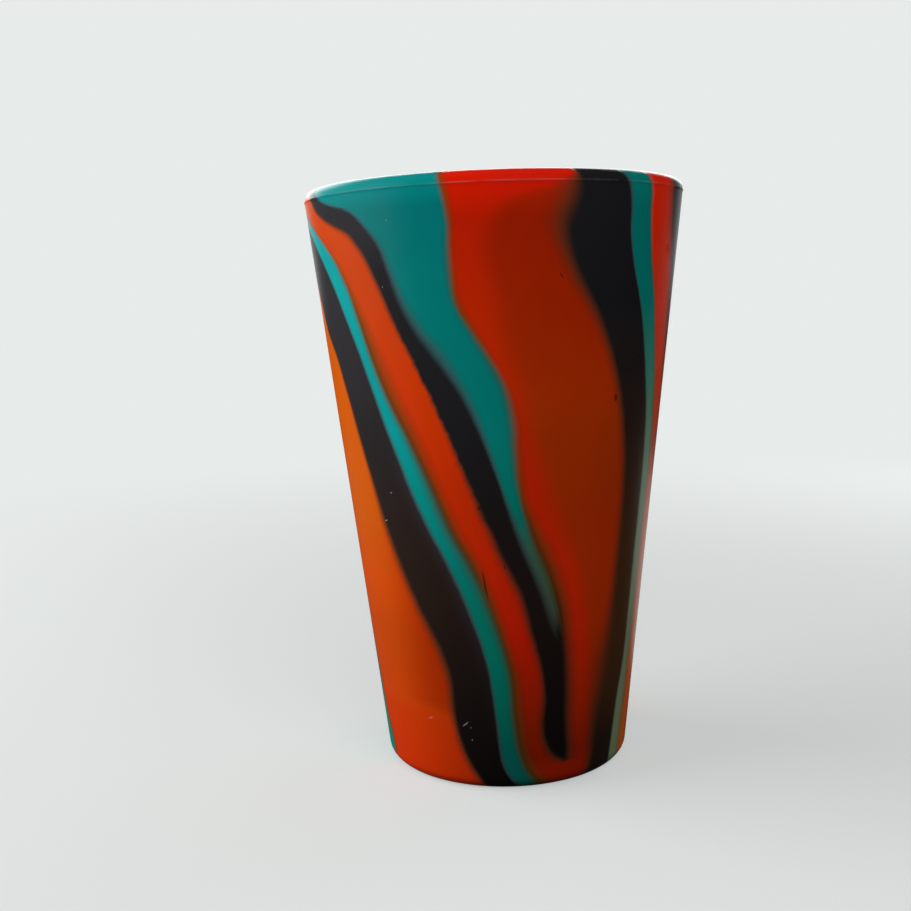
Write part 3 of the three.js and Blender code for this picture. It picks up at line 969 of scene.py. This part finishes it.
def blended(tree, colour, place):
    """Colour of a band: each compound fades out at a seam into a haze over black, and its edge wavers."""
    ripple = (noise(tree, place, RIPPLE_SCALE, 3) - 0.5) * 1.2
    ripple = ripple + (noise(tree, place, FINE_RIPPLE_SCALE, 2) - 0.5) * 0.5
    shifts = {"left": ripple * number(tree, "left_waver"), "right": ripple * number(tree, "right_waver") * -1}
    parts = []
    for side, shift in shifts.items():
        beside = read(tree, f"{side}_compound")
        share = (number(tree, f"{side}_over") + shift).eased(0, 1) * Field(tree, beside.outputs["Alpha"])
        parts.append((beside.outputs["Color"], share))
    total = parts[0][1] + parts[1][1]
    if colour != "black":
        ends = [(number(tree, f"own_{side}") - shift).eased(0, 1) for side, shift in shifts.items()]
        own_share = ends[0] * ends[1]
        parts.append((read(tree, "compound").outputs["Color"], own_share))
        total = total + own_share
    total = total.math("MINIMUM", 1)
    bare = total * -1 + 1
    ground, mist = (read(tree, name).outputs["Color"] for name in ("ground", "haze"))
    shade = scaled(tree, mix(tree, ground, mist, total * bare * 4), bare)
    for tint, share in parts:
        shade = add(tree, "ShaderNodeVectorMath", {0: shade, 1: scaled(tree, tint, share)}).outputs[0]
    return scaled(tree, shade, noise(tree, place, DRIFT_SCALE, 2) * DRIFT + (1 - DRIFT / 2))


def marked(tree, colour, shade, place, sizes, colours):
    """Adds the small marks, which are placed by arc length round the wall and height."""
    turn, radius, z = round_axis(tree, place)
    unrolled = add(tree, "ShaderNodeCombineXYZ", {"X": turn * radius, "Y": z}).outputs[0]
    slope = (sizes.rim_diameter - sizes.foot_diameter) / 2 / sizes.height
    outside = radius.above(sizes.foot_diameter / 2 - sizes.wall / 2)
    for marks, tint in ((PALE_MARKS, colours.dust), (DARK_MARKS, colours.scuff)):
        scuffed = None
        for angle, height, length, width, slant in marks[colour]:
            height /= 1000
            local = (sizes.foot_diameter / 2 + height * slope) * math.radians(angle)
            spot = add(tree, "ShaderNodeMapping", {
                "Vector": unrolled, "Location": (local, height, 0), "Rotation": (0, 0, math.radians(slant)),
                "Scale": (width / 2000, length / 2000, 1)}, vector_type="TEXTURE")
            mask = magnitude(tree, spot.outputs[0]).eased(*MARK_EDGE) * outside
            scuffed = mask if scuffed is None else scuffed.math("MAXIMUM", mask)
        if scuffed is not None:
            shade = mix(tree, shade, (*tint, 1), scuffed * MARK_SHARE)
    return shade


def rubbed_and_highlit_line(tree, shade, place, sizes, colours):
    """Paints the mould's parting line pale here and there: partly rubbed silicone, partly a painted
    highlight.
    """
    _, radius, z = round_axis(tree, place)
    off_line = (z - (sizes.height - sizes.line_drop)).math("ABSOLUTE")
    rubbed_and_highlit = off_line.eased(sizes.line_width * 0.4, sizes.line_width * 0.1)
    rubbed_and_highlit = rubbed_and_highlit * noise(tree, place, RUBBED_AND_HIGHLIT_SCALE, 3).eased(0.3, 0.6)
    rubbed_and_highlit = rubbed_and_highlit * radius.above(sizes.rim_diameter / 2 - sizes.wall / 2)
    return mix(tree, shade, (*colours.rubbed_and_highlit, 1), rubbed_and_highlit * RUBBED_AND_HIGHLIT_SHARE)


def silicone(colour, sizes, colours):
    """Moulded silicone in one colour. Its satin skin has a fine mould texture and slow changes of gloss."""
    material = bpy.data.materials.new(f"{colour.capitalize()} silicone")
    tree = clear_tree(material)
    place = add(tree, "ShaderNodeTexCoord").outputs["Object"]
    shade = blended(tree, colour, place)
    shade = marked(tree, colour, shade, place, sizes, colours)
    shade = rubbed_and_highlit_line(tree, shade, place, sizes, colours)
    grain = noise(tree, place, GRAIN_SCALE, 2, 0.6) + noise(tree, place, COARSE_GRAIN_SCALE, 3) * 0.8
    bump = add(tree, "ShaderNodeBump", {
        "Height": grain, "Strength": GRAIN_STRENGTH, "Distance": GRAIN_DEPTH})
    gloss = noise(tree, place, GLOSS_SCALE, 4) * GLOSS_CHANGE + (colours.roughness - GLOSS_CHANGE / 2)
    skin = add(tree, "ShaderNodeBsdfPrincipled", {
        "Base Color": shade, "Roughness": gloss, "IOR": SILICONE_IOR, "Specular IOR Level": SPECULAR_LEVEL,
        "Normal": bump.outputs[0]})
    add(tree, "ShaderNodeOutputMaterial", {"Surface": skin.outputs[0]})
    lay_out(tree)
    return material


def make_bands(scene, colour):
    """Builds every band of one colour and puts it in place of its CAD node."""
    sizes, colours = scene.cup_sizes, scene.cup_colours
    section = Section(sizes)
    seams = seam_angles(section.levels)
    material = silicone(colour, sizes, colours)
    tree = wrap_tree(sizes)
    sockets = {item.name: item.identifier for item in tree.interface.items_tree if item.in_out == "INPUT"}
    for index, band in enumerate(BANDS):
        if not band["node"].startswith(colour):
            continue
        name = band["node"].replace("band", "silicone")
        flat, angle, rows = flat_band(name, section, seams[index], seams[index + 1])
        marble(flat, index, section, seams, angle, rows, colours)
        piece = bpy.data.objects.new(name, flat)
        scene.collection.objects.link(piece)
        wrap = piece.modifiers.new("Wrap", "NODES")
        wrap.node_group = tree
        for prop_name, prop in sizes.bl_rna.properties.items():
            if prop.name in sockets:
                wrap[sockets[prop.name]] = getattr(sizes, prop_name)
        wrap[sockets["Material"]] = material
        depsgraph = bpy.context.evaluated_depsgraph_get()
        mesh = bpy.data.meshes.new_from_object(
            piece.evaluated_get(depsgraph), preserve_all_data_layers=True, depsgraph=depsgraph)
        piece.modifiers.clear()
        piece.data = mesh
        mesh.name = name
        bpy.data.meshes.remove(flat)
        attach(piece, "root")
        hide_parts(band["node"])


class CUP_OT_orange_bands(bpy.types.Operator):
    """Build the orange bands"""

    bl_idname = "cup.orange_bands"
    bl_label = "Orange bands"

    def execute(self, context):
        make_bands(context.scene, "orange")
        return {"FINISHED"}


class CUP_OT_black_bands(bpy.types.Operator):
    """Build the black bands"""

    bl_idname = "cup.black_bands"
    bl_label = "Black bands"

    def execute(self, context):
        make_bands(context.scene, "black")
        return {"FINISHED"}


class CUP_OT_teal_bands(bpy.types.Operator):
    """Build the teal bands"""

    bl_idname = "cup.teal_bands"
    bl_label = "Teal bands"

    def execute(self, context):
        make_bands(context.scene, "teal")
        return {"FINISHED"}


# What the skin mirrors of the floor: a bright patch behind the cup on the right, and a little of the rest.
# Pairs are the distances in metres between which a thing comes in, or dies out where the first is greater.
PATCH_SIDE, PATCH_BACK, PATCH_REACH = (0.03, 0.07), (0, 0.05), (0.5, 0.18)
PATCH_SKEW, PATCH_STRENGTH = 0.6, 1.1
MIRROR_REACH = (0.6, 0.42)
GLOW_RISE, NEAR_GLOW = (0.08, 0.6), 0.55  # How the floor's glow rises away from the cup, and its share there
FLOOR_RADIUS, FLOOR_SIDES = 4, 96

# The soft lights: place, target, and width and height, in metres
LAMPS = {
    "key": ((-0.62, 0, 0.27), (0, 0, 0.08), (0.7, 0.5)),
    "front": ((0.07, -0.25, 0.21), (0, 0, 0.12), (0.20, 0.14)),
    "rim": ((0.40, 0.45, 0.05), (0, 0, 0.05), (0.4, 0.2)),
    "strip": ((-0.175, 0.7, 0.52), (-0.075, 0, 0.14), (1.25, 0.55)),
}
MIRRORED_LAMP = "strip"
# Directions, as shares of straight back and straight up, between which the backdrop and the fill come in
BACKDROP, OVERHEAD = (0.72, 0.98), (0.55, 0.95)

CAMERA_PLACE = (0, -0.2979, 0.1181)
CAMERA_PITCH, CAMERA_YAW, CAMERA_ROLL = math.radians(-7.604), math.radians(2.204), math.radians(-1.850)
SENSOR_WIDTH, NEAR_CLIP = 36, 0.01


def looked_at(path, mirrored):
    """1 where the camera looks, straight or through something clear, and the mirrored share elsewhere."""
    seen = mirrored.math("MAXIMUM", path.outputs["Is Camera Ray"])
    return seen.math("MAXIMUM", path.outputs["Is Transmission Ray"])


def floor_material(stage):
    """Pale matt floor that fades into the backdrop away from the cup. Its glow is seen but lights nothing."""
    material = bpy.data.materials.new("Pale floor")
    material.cycles.emission_sampling = "NONE"
    tree = clear_tree(material)
    place = add(tree, "ShaderNodeTexCoord").outputs["Object"]
    away = magnitude(tree, place)
    right, back, _ = split(tree, place)
    path = add(tree, "ShaderNodeLightPath")
    glossy = Field(tree, path.outputs["Is Glossy Ray"])
    beside = right.eased(*PATCH_SIDE) * (back - right * PATCH_SKEW).eased(*PATCH_BACK)
    patch = beside * away.eased(*PATCH_REACH) * PATCH_STRENGTH
    seen = looked_at(path, glossy * (patch + away.eased(*MIRROR_REACH) * stage.reflected))
    dull = mix(tree, (*stage.bounce_colour, 1), (0, 0, 0, 1), glossy)
    tone = mix(tree, dull, (*stage.floor_colour, 1), seen)
    matt = add(tree, "ShaderNodeBsdfDiffuse", {"Color": tone})
    far = add(tree, "ShaderNodeEmission", {"Color": (*stage.floor_colour, 1), "Strength": 1.0})
    glow = (away.eased(*GLOW_RISE) * (1 - NEAR_GLOW) + NEAR_GLOW) * seen
    surface = add(tree, "ShaderNodeMixShader", {0: glow, 1: matt.outputs[0], 2: far.outputs[0]})
    add(tree, "ShaderNodeOutputMaterial", {"Surface": surface.outputs[0]})
    lay_out(tree)
    return material


def area_light(scene, name, place, target, size, power, mirrored=False):
    """A soft light aimed at a point, which either lights surfaces or is only mirrored in them."""
    lamp = bpy.data.lights.new(name, "AREA")
    lamp.shape = "RECTANGLE"
    lamp.size, lamp.size_y = size
    lamp.energy = power
    light = bpy.data.objects.new(name, lamp)
    light.location = place
    light.rotation_euler = (Vector(target) - Vector(place)).to_track_quat("-Z", "Y").to_euler()
    light.visible_camera = False
    light.visible_diffuse = not mirrored
    light.visible_glossy = mirrored
    scene.collection.objects.link(light)


def make_floor(scene, stage):
    """A wide round floor under the cup."""
    disc = bmesh.new()
    bmesh.ops.create_circle(disc, cap_ends=True, radius=FLOOR_RADIUS, segments=FLOOR_SIDES)
    mesh = bpy.data.meshes.new("floor")
    disc.to_mesh(mesh)
    disc.free()
    mesh.materials.append(floor_material(stage))
    floor = bpy.data.objects.new("floor", mesh)
    scene.collection.objects.link(floor)


def make_backdrop(scene, stage):
    """A pale world that is seen and mirrored, with an even light from overhead."""
    world = bpy.data.worlds.new("Backdrop")
    scene.world = world
    tree = clear_tree(world)
    _, back, up = split(tree, add(tree, "ShaderNodeTexCoord").outputs["Generated"])
    path = add(tree, "ShaderNodeLightPath")
    glossy = Field(tree, path.outputs["Is Glossy Ray"])
    seen = looked_at(path, glossy * (back.eased(*BACKDROP) + stage.reflected))
    overhead = up.eased(*OVERHEAD) * (glossy * -1 + 1) * stage.fill
    even = add(tree, "ShaderNodeBackground", {"Color": (1, 1, 1, 1), "Strength": overhead})
    pale = add(tree, "ShaderNodeBackground", {"Color": (*stage.floor_colour, 1), "Strength": 1.0})
    shown = add(tree, "ShaderNodeMixShader", {0: seen, 1: even.outputs[0], 2: pale.outputs[0]})
    add(tree, "ShaderNodeOutputWorld", {"Surface": shown.outputs[0]})
    lay_out(tree)


def make_camera(scene, stage):
    """The camera at the photograph's viewpoint."""
    lens = bpy.data.cameras.new("camera")
    lens.lens = stage.lens
    lens.sensor_width = SENSOR_WIDTH
    lens.clip_start = NEAR_CLIP
    camera = bpy.data.objects.new("camera", lens)
    turn = Matrix.Rotation(CAMERA_YAW, 4, "Z") @ Matrix.Rotation(math.pi / 2 + CAMERA_PITCH, 4, "X")
    roll = Matrix.Rotation(CAMERA_ROLL, 4, "Z")
    camera.matrix_world = Matrix.Translation(CAMERA_PLACE) @ turn @ roll
    scene.collection.objects.link(camera)
    scene.camera = camera


class CUP_OT_stage(bpy.types.Operator):
    """Set the floor, the light and the camera"""

    bl_idname = "cup.stage"
    bl_label = "Stage"

    def execute(self, context):
        scene = context.scene
        stage = scene.cup_stage
        scene.view_settings.view_transform = "Standard"
        make_floor(scene, stage)
        for name, (place, target, size) in LAMPS.items():
            power = getattr(stage, f"{name}_power")
            area_light(scene, name, place, target, size, power, mirrored=name == MIRRORED_LAMP)
        make_backdrop(scene, stage)
        make_camera(scene, stage)
        return {"FINISHED"}


class CUP_PT_panel(bpy.types.Panel):
    """Cup builder"""

    bl_label = "Marbled silicone cup"
    bl_idname = "CUP_PT_panel"
    bl_space_type = "VIEW_3D"
    bl_region_type = "UI"
    bl_category = "Cup"

    def draw(self, context):
        for settings in (context.scene.cup_sizes, context.scene.cup_colours, context.scene.cup_stage):
            box = self.layout.box()
            for name, prop in settings.bl_rna.properties.items():
                if prop.type == "FLOAT":
                    box.prop(settings, name)
        for operator in OPERATORS:
            self.layout.operator(operator.bl_idname)


OPERATORS = (CUP_OT_orange_bands, CUP_OT_black_bands, CUP_OT_teal_bands, CUP_OT_stage)
CLASSES = (CupSizes, SiliconeColours, StageSettings, *OPERATORS, CUP_PT_panel)


def register():
    for cls in CLASSES:
        bpy.utils.register_class(cls)
    bpy.types.Scene.cup_sizes = PointerProperty(type=CupSizes)
    bpy.types.Scene.cup_colours = PointerProperty(type=SiliconeColours)
    bpy.types.Scene.cup_stage = PointerProperty(type=StageSettings)


def unregister():
    del bpy.types.Scene.cup_sizes, bpy.types.Scene.cup_colours, bpy.types.Scene.cup_stage
    for cls in reversed(CLASSES):
        bpy.utils.unregister_class(cls)


def main():
    register()
    bpy.ops.cup.orange_bands()
    bpy.ops.cup.black_bands()
    bpy.ops.cup.teal_bands()
    bpy.ops.cup.stage()


if __name__ == "__main__":
    main()
